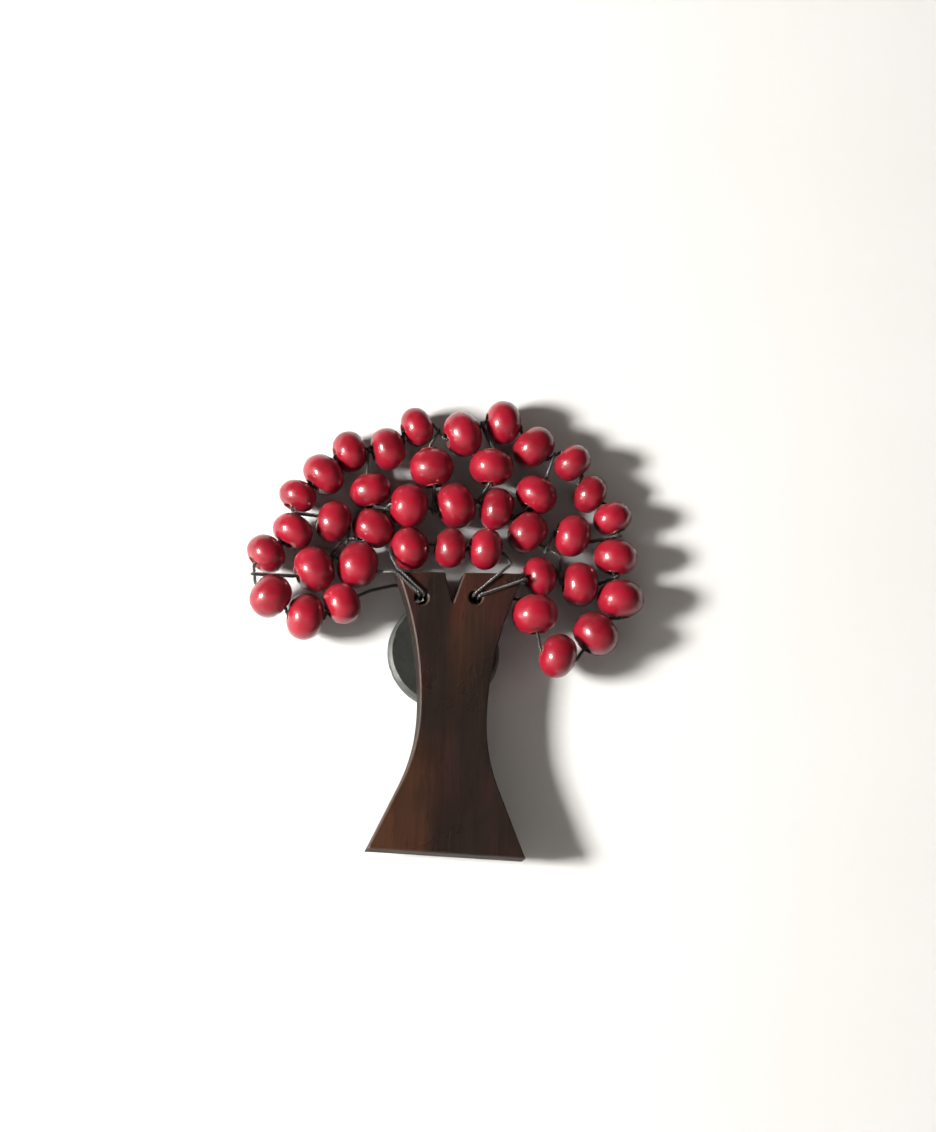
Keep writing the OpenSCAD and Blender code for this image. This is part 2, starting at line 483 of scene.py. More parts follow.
@dataclass(frozen=True)
class BeadLacquer(Finish):
    """Red dye under a thick clear coat on turned wood, thinner on the lips of the bore."""

    red: Colour = (0.158, 0.0018, 0.0088, 1.0)
    deep_red: Colour = (0.098, 0.0011, 0.0054, 1.0)
    bright_red: Colour = (0.215, 0.0040, 0.0140, 1.0)
    bare_wood: Colour = (0.30, 0.10, 0.055, 1.0)
    # bore colour: bare wood inside the bore, painted dark as painted shade in the recess
    bore_wood_and_painted_shade: Colour = (0.045, 0.010, 0.009, 1.0)

    def surface(self, graph: Graph) -> Socket:
        """Wires dye, grain, worn lips, the bare bore with its painted shade, and the clear coat; see
        Finish.surface.
        """
        local = self.attribute(graph, "bead_place", "Vector")
        inward = self.attribute(graph, "inward")
        place = self.object_place(graph)
        grain = WOOD_GRAIN.place(graph, Vector=local, Band_scale=420.0, Sway=0.0012,
                                 Fibre_scale=2600.0, Pore_scale=2200.0)
        tone = UNEVENNESS.place(graph, Vector=local, Slow_scale=150.0, Quick_scale=900.0)
        dye = graph.blend(graph.remap(tone.outputs["Slow"], 0.0, 1.0), self.deep_red, self.red)
        dye = graph.blend(graph.calc("MULTIPLY", grain.outputs["Bands"], 0.35), dye, self.bright_red)
        dye = graph.blend(graph.calc("MULTIPLY", grain.outputs["Pores"], 0.35), dye, self.deep_red)
        lip = graph.calc("MULTIPLY", graph.remap(inward, 0.40, 0.50), graph.remap(inward, 0.62, 0.53))
        chips = EDGE_WEAR.place(graph, Vector=local, Edge=lip, Breakup_scale=1500.0, Amount=0.75)
        dye = graph.blend(chips.outputs["Mask"], dye, self.bare_wood)
        # Inside the bore the coat stops and the wood is bare; its colour is painted far darker than the dye,
        # as painted shade in the bore.
        inside = graph.remap(inward, 0.54, 0.66)
        dye = graph.blend(inside, dye, self.bore_wood_and_painted_shade)
        dust = DUST.place(graph, Vector=place, Amount=0.10)
        dye = graph.blend(dust.outputs["Mask"], dye, (0.55, 0.45, 0.42, 1.0))
        rough = graph.calc("ADD", 0.30, graph.calc("MULTIPLY", tone.outputs["Quick"], 0.14))
        rough = graph.calc("ADD", rough, graph.calc("MULTIPLY", inside, 0.3))
        clear = graph.calc("SUBTRACT", 1.0, graph.calc("MAXIMUM", inside, chips.outputs["Mask"]))
        under = graph.bump(grain.outputs["Relief"], 0.02 * MM, 0.5)
        ripple = graph.noise(local, 700.0, 2.0)
        skin = graph.bump(ripple, 0.035 * MM, 0.6, under)
        return graph.out("ShaderNodeBsdfPrincipled", 0, {
            "Base Color": dye, "Roughness": rough, "Coat Weight": clear, "Coat Roughness": 0.055,
            "Coat IOR": 1.42, "Specular IOR Level": 0.2, "Normal": skin,
        })


@dataclass(frozen=True)
class TrunkWood(Finish):
    """Dark stained hardwood with brown streaks, rubbed pale along its arrises."""

    dark: Colour = (0.0100, 0.0062, 0.0048, 1.0)
    brown: Colour = (0.036, 0.0140, 0.0065, 1.0)
    reddish: Colour = (0.024, 0.0072, 0.0060, 1.0)
    pore: Colour = (0.0045, 0.0030, 0.0025, 1.0)
    rubbed: Colour = (0.050, 0.033, 0.024, 1.0)

    def surface(self, graph: Graph) -> Socket:
        """Wires bands, streaks, pores and rubbed edges; see Finish.surface."""
        place = self.object_place(graph)
        grain = WOOD_GRAIN.place(graph, Vector=place, Band_scale=210.0, Sway=0.0016,
                                 Fibre_scale=2400.0, Pore_scale=2100.0)
        split = graph.node("ShaderNodeSeparateXYZ", {0: place})
        streaks = graph.noise(graph.vector("MULTIPLY", place, (1.0, 1.0, 0.25)), 95.0, 2.0, 0.5, 0.4)
        foot = graph.calc("MULTIPLY", graph.remap(split.outputs["Z"], -0.012, -0.022),
                          graph.remap(split.outputs["X"], 0.0, -0.005))
        brown_share = graph.calc("ADD", graph.remap(streaks, 0.52, 0.72, 0.0, 0.45),
                                 graph.calc("MULTIPLY", foot, graph.remap(streaks, 0.30, 0.50)))
        red_share = graph.remap(
            graph.noise(graph.vector("MULTIPLY", place, (1.3, 1.3, 0.4)), 150.0, 2.0), 0.46, 0.62)
        high = graph.remap(split.outputs["Z"], -0.012, 0.0, 0.35, 1.0)
        wood = graph.blend(graph.calc("MULTIPLY", red_share, high), self.dark, self.reddish)
        wood = graph.blend(graph.calc("MINIMUM", brown_share, 1.0), wood, self.brown)
        wood = graph.blend(graph.calc("MULTIPLY", grain.outputs["Bands"], 0.5), wood, self.dark)
        lines = graph.remap(grain.outputs["Fibres"], 0.35, 0.7, 0.82, 1.2)
        wood = graph.vector("SCALE", wood)
        graph.feed(graph.find(wood.node.inputs, "Scale"), lines)
        wood = graph.blend(graph.calc("MULTIPLY", grain.outputs["Pores"], 0.8), wood, self.pore)
        worn = EDGE_WEAR.place(graph, Vector=place, Edge=self.attribute(graph, "arris"),
                               Breakup_scale=700.0, Amount=0.8)
        wood = graph.blend(worn.outputs["Mask"], wood, self.rubbed)
        sawn = self.attribute(graph, "sawn")
        wood = graph.blend(graph.calc("MULTIPLY", sawn, 0.35), wood, self.pore)
        dust = DUST.place(graph, Vector=place, Amount=0.08)
        wood = graph.blend(dust.outputs["Mask"], wood, (0.35, 0.31, 0.27, 1.0))
        tone = UNEVENNESS.place(graph, Vector=place, Slow_scale=110.0, Quick_scale=1500.0)
        rough = graph.remap(tone.outputs["Slow"], 0.0, 1.0, 0.27, 0.36)
        edge = graph.calc("MAXIMUM", sawn, self.attribute(graph, "arris"))
        rough = graph.calc("ADD", rough, graph.calc("MULTIPLY", edge, 0.35))
        marks = graph.noise(graph.vector("MULTIPLY", place, (0.3, 0.3, 1.0)), 1600.0, 2.0)
        height = graph.calc(
            "ADD", grain.outputs["Relief"],
            graph.calc("MULTIPLY", marks, graph.calc("MULTIPLY", sawn, 1.5)))
        return graph.out("ShaderNodeBsdfPrincipled", 0, {
            "Base Color": wood, "Roughness": rough, "Coat Weight": graph.remap(edge, 0.0, 0.6, 0.2, 0.0),
            "Coat Roughness": 0.16, "Specular IOR Level": 0.2,
            "Normal": graph.bump(height, 0.02 * MM, 0.6),
        })


@dataclass(frozen=True)
class Ferrite(Finish):
    """Ground ferrite: dull greenish grey, with a paler chamfered rim that is partly rubbed and partly a
    painted highlight.
    """

    body: Colour = (0.0105, 0.0112, 0.0096, 1.0)
    pale: Colour = (0.026, 0.0275, 0.0240, 1.0)
    # rubbed: the rim's paler colour, partly rubbed ferrite and partly a painted highlight on the chamfer
    rubbed: Colour = (0.048, 0.051, 0.0455, 1.0)

    def surface(self, graph: Graph) -> Socket:
        """Wires the sintered grain, the grinding lines and the paler rim, partly rubbed and partly a painted
        highlight; see Finish.surface.
        """
        place = self.object_place(graph)
        tone = UNEVENNESS.place(graph, Vector=place, Slow_scale=160.0, Quick_scale=2600.0)
        grey = graph.blend(graph.calc("MULTIPLY", tone.outputs["Quick"], 0.45), self.body, self.pale)
        grey = graph.blend(graph.calc("MULTIPLY", tone.outputs["Slow"], 0.3), grey, self.pale)
        # The whole chamfer is painted paler: partly rubbed edges and chips, partly a painted highlight where
        # the bevel catches light.
        worn = EDGE_WEAR.place(graph, Vector=place, Edge=self.attribute(graph, "arris"),
                               Breakup_scale=1100.0, Amount=0.85)
        grey = graph.blend(worn.outputs["Mask"], grey, self.rubbed)
        dust = DUST.place(graph, Vector=place, Amount=0.18)
        grey = graph.blend(dust.outputs["Mask"], grey, (0.3, 0.29, 0.27, 1.0))
        lines = graph.noise(graph.vector("MULTIPLY", place, (1.0, 1.0, 0.02)), 5200.0, 2.0)
        sinter = graph.noise(place, 3800.0, 4.0, 0.7)
        height = graph.calc("ADD", graph.calc("MULTIPLY", lines, 0.5), sinter)
        rough = graph.remap(tone.outputs["Quick"], 0.0, 1.0, 0.34, 0.52)
        return graph.out("ShaderNodeBsdfPrincipled", 0, {
            "Base Color": grey, "Roughness": rough, "Metallic": 0.35,
            "Normal": graph.bump(height, 0.02 * MM, 0.6),
        })


@dataclass(frozen=True)
class WaxedCord(Finish):
    """Dark waxed thread, shiny on top of each ply and dusty between."""

    dark: Colour = (0.0050, 0.0038, 0.0032, 1.0)
    brown: Colour = (0.016, 0.0095, 0.0065, 1.0)

    def surface(self, graph: Graph) -> Socket:
        """Wires the fibres and the wax; see Finish.surface."""
        place = self.object_place(graph)
        along = self.attribute(graph, "along")
        strand = graph.out("ShaderNodeCombineXYZ", 0, {"X": along})
        worn = graph.noise(strand, 260.0, 3.0)
        fibres = graph.noise(place, 9000.0, 3.0, 0.7)
        thread = graph.blend(graph.remap(worn, 0.4, 0.7, 0.1, 0.8), self.dark, self.brown)
        thread = graph.blend(graph.remap(fibres, 0.55, 0.75, 0.0, 0.3), thread, (0.05, 0.036, 0.028, 1.0))
        dust = DUST.place(graph, Vector=place, Amount=0.25)
        thread = graph.blend(dust.outputs["Mask"], thread, (0.34, 0.30, 0.26, 1.0))
        rough = graph.remap(worn, 0.35, 0.7, 0.28, 0.5)
        return graph.out("ShaderNodeBsdfPrincipled", 0, {
            "Base Color": thread, "Roughness": rough, "Coat Weight": 0.35, "Coat Roughness": 0.18,
            "Sheen Weight": 0.15, "Normal": graph.bump(fibres, 0.03 * MM, 0.6),
        })


@dataclass(frozen=True)
class MeltGlue(Finish):
    """Milky hot-melt glue that has yellowed a little and caught dust."""

    milky: Colour = (0.60, 0.52, 0.36, 1.0)
    yellowed: Colour = (0.46, 0.34, 0.17, 1.0)

    def surface(self, graph: Graph) -> Socket:
        """Wires the glue; see Finish.surface."""
        place = self.object_place(graph)
        tone = UNEVENNESS.place(graph, Vector=place, Slow_scale=260.0, Quick_scale=1800.0)
        glue = graph.blend(tone.outputs["Slow"], self.milky, self.yellowed)
        dust = DUST.place(graph, Vector=place, Amount=0.5)
        glue = graph.blend(dust.outputs["Mask"], glue, (0.2, 0.17, 0.14, 1.0))
        rough = graph.remap(tone.outputs["Quick"], 0.0, 1.0, 0.22, 0.42)
        return graph.out("ShaderNodeBsdfPrincipled", 0, {
            "Base Color": glue, "Roughness": rough, "Subsurface Weight": 0.4,
            "Subsurface Radius": (0.0012, 0.0008, 0.0004), "Subsurface Scale": 1.0,
            "Normal": graph.bump(tone.outputs["Quick"], 0.05 * MM, 0.5),
        })


@dataclass(frozen=True)
class PaleBoard(Finish):
    """Matt white board; seen from behind, the backboard lets the view through."""

    white: Colour = (0.48, 0.475, 0.465, 1.0)
    see_through_back: bool = False

    def surface(self, graph: Graph) -> Socket:
        """Wires the board; see Finish.surface."""
        place = self.object_place(graph)
        tone = UNEVENNESS.place(graph, Vector=place, Slow_scale=14.0, Quick_scale=900.0)
        white = graph.blend(graph.calc("MULTIPLY", tone.outputs["Slow"], 0.35), self.white,
                            (0.45, 0.44, 0.425, 1.0))
        board = graph.out("ShaderNodeBsdfPrincipled", 0, {
            "Base Color": white, "Roughness": 0.85, "Specular IOR Level": 0.15,
            "Normal": graph.bump(tone.outputs["Quick"], 0.02 * MM, 0.3),
        })
        if not self.see_through_back:
            return board
        behind = graph.out("ShaderNodeNewGeometry", "Backfacing")
        clear = graph.out("ShaderNodeBsdfTransparent", 0)
        return graph.out("ShaderNodeMixShader", 0, {0: behind, 1: board, 2: clear})


# ------------------------------------------------------------- mesh and rigs


def add_object(name: str, mesh: bpy.types.Mesh) -> bpy.types.Object:
    """Puts a mesh in the scene as an object at the origin.

    Args:
        name: the piece's name.
        mesh: its mesh, already in the frame's place.

    Returns:
        The object.
    """
    mesh.name = name
    made = bpy.data.objects.new(name, mesh)
    bpy.context.scene.collection.objects.link(made)
    return made


def dress(piece: bpy.types.Object, finish: Finish, body: str, *nodes: str) -> None:
    """Gives a piece its finish and its place in the part.

    Args:
        piece: the finished object.
        finish: what it is finished with.
        body: the CAD body it rides on.
        nodes: the CAD nodes it stands for.
    """
    piece.data.materials.clear()
    piece.data.materials.append(finish.material())
    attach(piece, body)
    if nodes:
        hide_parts(*nodes)


@dataclass
class NodeRig:
    """A Geometry Nodes tree with named inputs that makes one plain mesh at a time."""

    name: str
    sockets: dict[str, str] = field(default_factory=dict)
    tree: bpy.types.NodeTree | None = None

    def open(self, inputs: Mapping[str, tuple[str, Any]]) -> tuple[Graph, dict[str, Socket]]:
        """Starts the tree.

        Args:
            inputs: each input's name with its kind and its usual value.

        Returns:
            The graph, and the input sockets by name.
        """
        self.tree = bpy.data.node_groups.new(self.name, "GeometryNodeTree")
        self.tree.is_modifier = True
        face = self.tree.interface
        face.new_socket("Geometry", in_out="OUTPUT", socket_type="NodeSocketGeometry")
        face.new_socket("Geometry", in_out="INPUT", socket_type="NodeSocketGeometry")
        for name, (kind, value) in inputs.items():
            socket = face.new_socket(name, in_out="INPUT", socket_type="NodeSocket" + kind)
            self.sockets[name] = socket.identifier
            if value is not None:
                socket.default_value = value
        graph = Graph(self.tree)
        given = graph.node("NodeGroupInput")
        return graph, {s.name: s for s in given.outputs if s.name}

    def close(self, graph: Graph, shape: Socket, material: Socket) -> None:
        """Ends the tree in Realize Instances and Set Material.

        Args:
            graph: the tree's graph.
            shape: the geometry made.
            material: the material input.
        """
        plain = graph.out("GeometryNodeRealizeInstances", 0, {0: shape})
        dressed = graph.out("GeometryNodeSetMaterial", 0, {"Geometry": plain, "Material": material})
        graph.node("NodeGroupOutput", {0: dressed})

    def make(self, name: str, seed_mesh: bpy.types.Mesh, values: Mapping[str, Any]) -> bpy.types.Mesh:
        """Runs the tree once.

        Args:
            name: a name for the work object.
            seed_mesh: the geometry handed to the tree.
            values: inputs to set, by name.

        Returns:
            The mesh made, free of the modifier.
        """
        work = add_object(name + "_work", seed_mesh)
        rig = work.modifiers.new(self.name, "NODES")
        rig.node_group = self.tree
        for key, value in values.items():
            rig[self.sockets[key]] = value
        graph = bpy.context.evaluated_depsgraph_get()
        made = bpy.data.meshes.new_from_object(work.evaluated_get(graph), depsgraph=graph)
        work.modifiers.clear()
        bpy.data.objects.remove(work)
        return made


class BeadLathe(NodeRig):
    """Turns a bead about Z: a round-edged ring with a flared bore, a little uneven."""

    def __init__(self) -> None:
        """Builds the lathe's tree."""
        super().__init__("Bead lathe")
        graph, given = self.open({
            "Diameter": ("Float", 0.007), "Length": ("Float", 0.0052), "Bore": ("Float", 0.0016),
            "Mouth": ("Float", 0.0028), "Pointing": ("Float", 1.05), "Unevenness": ("Float", 0.00008),
            "Seed": ("Float", 0.0), "Round steps": ("Int", 80), "Section steps": ("Int", 56),
            "Material": ("Material", None),
        })
        sheet = graph.node("GeometryNodeMeshGrid", {
            "Size X": 1.0, "Size Y": 1.0,
            "Vertices X": graph.calc("ADD", given["Round steps"], 1.0),
            "Vertices Y": graph.calc("ADD", given["Section steps"], 1.0),
        })
        split = graph.node("ShaderNodeSeparateXYZ", {0: graph.out("GeometryNodeInputPosition", 0)})
        turn = graph.calc("MULTIPLY", split.outputs["X"], math.tau)
        sweep = graph.calc("MULTIPLY", split.outputs["Y"], math.tau)
        half = graph.calc("MULTIPLY", given["Length"], 0.5)
        edge_middle = graph.calc("SUBTRACT", graph.calc("MULTIPLY", given["Diameter"], 0.5), half)
        cosine = graph.calc("COSINE", sweep)
        bulge = graph.calc("MULTIPLY", graph.calc("SIGN", cosine),
                           graph.calc("POWER", graph.calc("ABSOLUTE", cosine), given["Pointing"]))
        outer = graph.calc("ADD", edge_middle, graph.calc("MULTIPLY", half, bulge))
        height = graph.calc("MULTIPLY", half, graph.calc("SINE", sweep))
        reach = graph.calc("DIVIDE", graph.calc("ABSOLUTE", height), half)
        flare = graph.calc("MULTIPLY", graph.calc("SUBTRACT", given["Mouth"], given["Bore"]),
                           graph.calc("POWER", reach, 6.0))
        bore = graph.calc("MULTIPLY", graph.calc("ADD", given["Bore"], flare), 0.5)
        radius = graph.calc("SMOOTH_MAX", outer, bore, 0.18 * MM)
        inward = graph.calc("DIVIDE", graph.calc("ABSOLUTE", sweep), math.pi)

        way = graph.out("ShaderNodeCombineXYZ", 0, {
            "X": graph.calc("COSINE", turn), "Y": graph.calc("SINE", turn),
            "Z": graph.calc("MULTIPLY", graph.calc("SINE", sweep), 1.0),
        })
        lumps = graph.out("ShaderNodeTexNoise", 0, {
            "Vector": way, "W": given["Seed"], "Scale": 1.1, "Detail": 1.0,
        }, noise_dimensions="4D")
        nicks = graph.out("ShaderNodeTexNoise", 0, {
            "Vector": way, "W": given["Seed"], "Scale": 7.0, "Detail": 3.0,
        }, noise_dimensions="4D")
        at_lip = graph.calc("MULTIPLY", graph.remap(inward, 0.38, 0.48), graph.remap(inward, 0.62, 0.52))
        nicked = graph.calc("MULTIPLY", graph.remap(nicks, 0.50, 0.72), at_lip)
        dip = graph.calc("MULTIPLY", given["Unevenness"],
                         graph.calc("ADD", graph.remap(lumps, 0.25, 0.75), nicked))
        taken = graph.calc("MULTIPLY", dip, graph.remap(inward, 0.66, 0.50))
        turned = graph.calc("SUBTRACT", radius, taken)
        cut = graph.calc("MULTIPLY", graph.calc("MULTIPLY", dip, graph.calc("DIVIDE", height, half)), 0.8)
        place = graph.out("ShaderNodeCombineXYZ", 0, {
            "X": graph.calc("MULTIPLY", turned, graph.calc("COSINE", turn)),
            "Y": graph.calc("MULTIPLY", turned, graph.calc("SINE", turn)),
            "Z": graph.calc("SUBTRACT", height, cut),
        })
        marked = graph.out("GeometryNodeStoreNamedAttribute", 0, {
            "Geometry": graph.find(sheet.outputs, "Mesh"), "Name": "inward", "Value": inward,
        }, data_type="FLOAT", domain="POINT")
        bent = graph.out("GeometryNodeSetPosition", 0, {"Geometry": marked, "Position": place})
        offset = graph.out("ShaderNodeCombineXYZ", 0, {
            "X": graph.calc("MULTIPLY", given["Seed"], 0.013),
            "Y": graph.calc("MULTIPLY", given["Seed"], 0.007),
        })
        local = graph.vector("ADD", graph.out("GeometryNodeInputPosition", 0), offset)
        labelled = graph.out("GeometryNodeStoreNamedAttribute", 0, {
            "Geometry": bent, "Name": "bead_place", "Value": local,
        }, data_type="FLOAT_VECTOR", domain="POINT")
        closed = graph.out("GeometryNodeMergeByDistance", 0, {"Geometry": labelled, "Distance": 0.001 * MM})
        smooth = graph.out("GeometryNodeSetShadeSmooth", 0, {"Geometry": closed})
        self.close(graph, smooth, given["Material"])


class CordTwister(NodeRig):
    """Lays plies round a path, twisting them as it goes."""

    def __init__(self) -> None:
        """Builds the twister's tree."""
        super().__init__("Cord twister")
        graph, given = self.open({
            "Diameter": ("Float", 0.0006), "Plies": ("Int", 3), "Pitch": ("Float", 0.0016),
            "Step": ("Float", 0.0001), "Ply sides": ("Int", 9), "Material": ("Material", None),
        })
        path = graph.out("GeometryNodeMeshToCurve", 0, {0: given["Geometry"]})
        even = graph.out(
            "GeometryNodeResampleCurve", 0, {"Curve": path, "Length": given["Step"]}, mode="LENGTH")
        along = graph.out("GeometryNodeSplineParameter", "Length")
        upright = graph.out("GeometryNodeSetCurveNormal", 0, {"Curve": even}, mode="MINIMUM_TWIST")
        turn = graph.calc("MULTIPLY", graph.calc("DIVIDE", along, given["Pitch"]), math.tau)
        twisted = graph.out("GeometryNodeSetCurveTilt", 0, {"Curve": upright, "Tilt": turn})
        labelled = graph.out("GeometryNodeStoreNamedAttribute", 0, {
            "Geometry": twisted, "Name": "along", "Value": along,
        }, data_type="FLOAT", domain="POINT")
        share = graph.calc("DIVIDE", math.pi, given["Plies"])
        spread = graph.calc("SINE", share)
        radius = graph.calc("MULTIPLY", given["Diameter"], 0.5)
        ply = graph.calc("DIVIDE", graph.calc("MULTIPLY", radius, spread), graph.calc("ADD", 1.0, spread))
        ring = graph.out("GeometryNodeCurvePrimitiveCircle", 0, {
            "Resolution": given["Plies"], "Radius": graph.calc("SUBTRACT", radius, ply),
        }, mode="RADIUS")
        one = graph.out("GeometryNodeCurvePrimitiveCircle", 0, {
            "Resolution": given["Ply sides"], "Radius": graph.calc("MULTIPLY", ply, 1.08),
        }, mode="RADIUS")
        section = graph.out("GeometryNodeInstanceOnPoints", 0, {"Points": ring, "Instance": one})
        loose = graph.out("GeometryNodeRealizeInstances", 0, {0: section})
        laid = graph.out("GeometryNodeCurveToMesh", 0, {
            "Curve": labelled, "Profile Curve": loose, "Fill Caps": True,
        })
        smooth = graph.out("GeometryNodeSetShadeSmooth", 0, {"Geometry": laid})
        self.close(graph, smooth, given["Material"])


# --------------------------------------------------------------------- beads


@dataclass(frozen=True)
class Bead:
    """One bead as the part places it.

    Args:
        node: its node and its body.
        middle: the middle of its bore.
        along: the direction of its bore.
        diameter: across the bore.
        length: along the bore.
    """

    node: str
    middle: Vector
    along: Vector
    diameter: float
    length: float

    @classmethod
    def of_joint(cls, joint: Mapping[str, Any], nodes: Mapping[str, bpy.types.Object]) -> "Bead":
        """Reads a bead from its joint and its solid.

        Args:
            joint: the hinge that the bead spins on.
            nodes: the part's solids.

        Returns:
            The bead.
        """
        middle, along = Vector(joint["pos_m"]), Vector(joint["axis"]).normalized()
        node = joint["child"]
        offsets = [v.co - middle for v in nodes[node].data.vertices]
        reach = [o.dot(along) for o in offsets]
        spread = [(o - along * r).length for o, r in zip(offsets, reach)]
        return cls(node, middle, along, 2 * max(spread), max(reach) - min(reach))

    def lead(self, side: int, gap: float) -> Vector:
        """A point on the bore's axis, outside the bead.

        Args:
            side: -1 where the cord comes in, 1 where it goes out.
            gap: how far outside the bead.

        Returns:
            The point.
        """
        return self.middle + side * (self.length / 2 + gap) * self.along


@dataclass
class BeadCanopy:
    """All the beads, by strand and in stringing order."""

    lathe: BeadLathe
    finish: BeadLacquer
    bore: float = 1.6 * MM
    mouth: float = 2.9 * MM
    unevenness: float = 0.09 * MM
    plump: float = 0.08 * MM
    pointing: tuple[float, float] = (0.86, 1.04)
    seed: int = 11
    beads: dict[Strand, list[Bead]] = field(default_factory=dict)

    def gather(self, frame: Mapping[str, Any]) -> None:
        """Reads every bead from the part's joints.

        Args:
            frame: the loaded part.
        """
        for strand in Strand:
            own = [j for j in frame["joints"] if j["child"].startswith(strand.value + "_bead_")]
            own.sort(key=lambda j: int(j["child"].rsplit("_", 1)[1]))
            self.beads[strand] = [Bead.of_joint(j, frame["nodes"]) for j in own]

    def build(self) -> int:
        """Turns, places and dresses every bead.

        Returns:
            How many there are.
        """
        rng = np.random.default_rng(self.seed)
        count = 0
        for strand in Strand:
            for bead in self.beads[strand]:
                self.turn(bead, rng)
                count += 1
        return count

    def turn(self, bead: Bead, rng: np.random.Generator) -> None:
        """Turns one bead and puts it on its body.

        Args:
            bead: the bead to make.
            rng: where its chance comes from.
        """
        mesh = self.lathe.make(bead.node, bpy.data.meshes.new("blank"), {
            "Diameter": bead.diameter + self.plump, "Length": bead.length + self.plump,
            "Bore": self.bore, "Mouth": self.mouth,
            "Pointing": float(rng.uniform(*self.pointing)), "Unevenness": self.unevenness,
            "Seed": float(rng.uniform(0, 50)), "Material": self.finish.material(),
        })
        upright = bead.along.to_track_quat("Z", "Y").to_matrix().to_4x4()
        spin = Matrix.Rotation(float(rng.uniform(0, math.tau)), 4, "Z")
        mesh.transform(Matrix.Translation(bead.middle) @ upright @ spin)
        dress(add_object("turned_" + bead.node, mesh), self.finish, bead.node, bead.node)


# --------------------------------------------------------------------- cords


def millimetres(*points: Sequence[float]) -> list[Vector]:
    """Points given in millimetres, as vectors in metres."""
    return [Vector(p) * MM for p in points]


@dataclass
class CordWork:
    """The strands that carry the beads, the loops of the spokes, and the knots."""

    twister: CordTwister
    finish: WaxedCord
    canopy: BeadCanopy
    strand_diameter: float = 0.56 * MM
    loop_diameter: float = 0.46 * MM
    lead_gap: float = 0.2 * MM
    leg_offset: float = 0.45 * MM
    bight_radius: float = 0.5 * MM
    bend: float = 0.55 * MM
    left_knot: Vector = field(default_factory=lambda: Vector((-5.0, -1.9, 10.4)) * MM)
    right_knot: Vector = field(default_factory=lambda: Vector((4.0, -1.9, 11.0)) * MM)
    rim_start: list[Vector] = field(default_factory=lambda: millimetres((-8.5, -2, 10.5), (-12.5, -3.5, 9)))
    rim_end: list[Vector] = field(default_factory=lambda: millimetres((11.5, -3, 9.5), (8, -2, 10.3)))
    arc_start: list[Vector] = field(
        default_factory=lambda: millimetres((-5.15, -3, 8.1), (-5.15, -8.1, 8.1), (-9.5, -8.3, 11.5)))
    arc_left: list[Vector] = field(
        default_factory=lambda: millimetres((-19.5, -4.5, 14), (-17.75, -3, 16.75), (-16, -4.25, 17.25)))
    arc_right: list[Vector] = field(
        default_factory=lambda: millimetres((15.75, -4, 18), (18.25, -3.75, 17), (18.25, -4.5, 14.25)))
    arc_end: list[Vector] = field(
        default_factory=lambda: millimetres((12.2, -5.5, 11.8), (12.1, -8.2, 11.8), (4.5, -8.1, 8.55),
                                            (4.5, -3, 8.55)))
    crown_start: list[Vector] = field(
        default_factory=lambda: millimetres((-4.4, -3, 8.2), (-4.4, -8.1, 8.2), (-8.8, -8.2, 11.9),
                                            (-9.9, -6.3, 14.6)))
    crown_end: list[Vector] = field(
        default_factory=lambda: millimetres((9.7, -7, 14.4), (7.9, -8.2, 12.6), (3.7, -8.1, 8.65),
                                            (3.7, -3, 8.65)))
    spoke_gaps: tuple[int, ...] = (2, 4, 7, 9, 10, 12, 15, 16)

    def through(self, beads: Iterable[Bead]) -> list[Vector]:
        """The points where a strand goes in and out of a run of beads."""
        return [bead.lead(side, self.lead_gap) for bead in beads for side in (-1, 1)]

    def rounded(self, points: Sequence[Vector], closed: bool = False) -> list[Vector]:
        """Rounds a route's corners.

        Args:
            points: the route.
            closed: whether it comes back to its start.

        Returns:
            The route with a short curve at each corner.
        """
        count, out = len(points), []
        for i, point in enumerate(points):
            if not closed and i in (0, count - 1):
                out.append(point)
                continue
            before, after = points[i - 1] - point, points[(i + 1) % count] - point
            start = point + before.normalized() * min(self.bend, 0.45 * before.length)
            end = point + after.normalized() * min(self.bend, 0.45 * after.length)
            for step in range(6):
                t = step / 5
                out.append((1 - t) ** 2 * start + 2 * t * (1 - t) * point + t * t * end)
        return out

    def lay(self, name: str, points: Sequence[Vector], diameter: float, closed: bool, *nodes: str) -> None:
        """Twists a cord along a route and dresses it.

        Args:
            name: the piece's name.
            points: its route.
            diameter: the cord's.
            closed: whether the route is a loop.
            nodes: the CAD nodes it stands for.
        """
        route = self.rounded(points, closed)
        pairs = [(i, i + 1) for i in range(len(route) - 1)]
        if closed:
            pairs.append((len(route) - 1, 0))
        line = bpy.data.meshes.new("route")
        line.from_pydata(route, pairs, [])
        mesh = self.twister.make(name, line, {
            "Diameter": diameter, "Pitch": 2.9 * diameter, "Material": self.finish.material(),
        })
        dress(add_object(name, mesh), self.finish, FRAME_BODY, *nodes)

    def build_strands(self) -> None:
        """Lays the three strands from knot to knot."""
        beads = self.canopy.beads
        arc = beads[Strand.ARC]
        rim = [self.left_knot, *self.rim_start, *self.through(beads[Strand.RIM]),
               *self.rim_end, self.right_knot]
        second = [self.left_knot, *self.arc_start, *self.through(arc[:1]), *self.arc_left,
                  *self.through(arc[1:6]), *self.arc_right, *self.through(arc[6:]), *self.arc_end,
                  self.right_knot]
        crown = [self.left_knot, *self.crown_start, *self.through(beads[Strand.CROWN]), *self.crown_end,
                 self.right_knot]
        self.lay("rim_strand", rim, self.strand_diameter, False, "rim_cord")
        self.lay("arc_strand", second, self.strand_diameter, False, "arc_cord")
        self.lay("crown_strand", crown, self.strand_diameter, False, "crown_cord")

    def between(self, first: Bead, second: Bead) -> Vector:
        """The middle of the cord between two beads of a strand."""
        return (first.lead(1, self.lead_gap) + second.lead(-1, self.lead_gap)) / 2

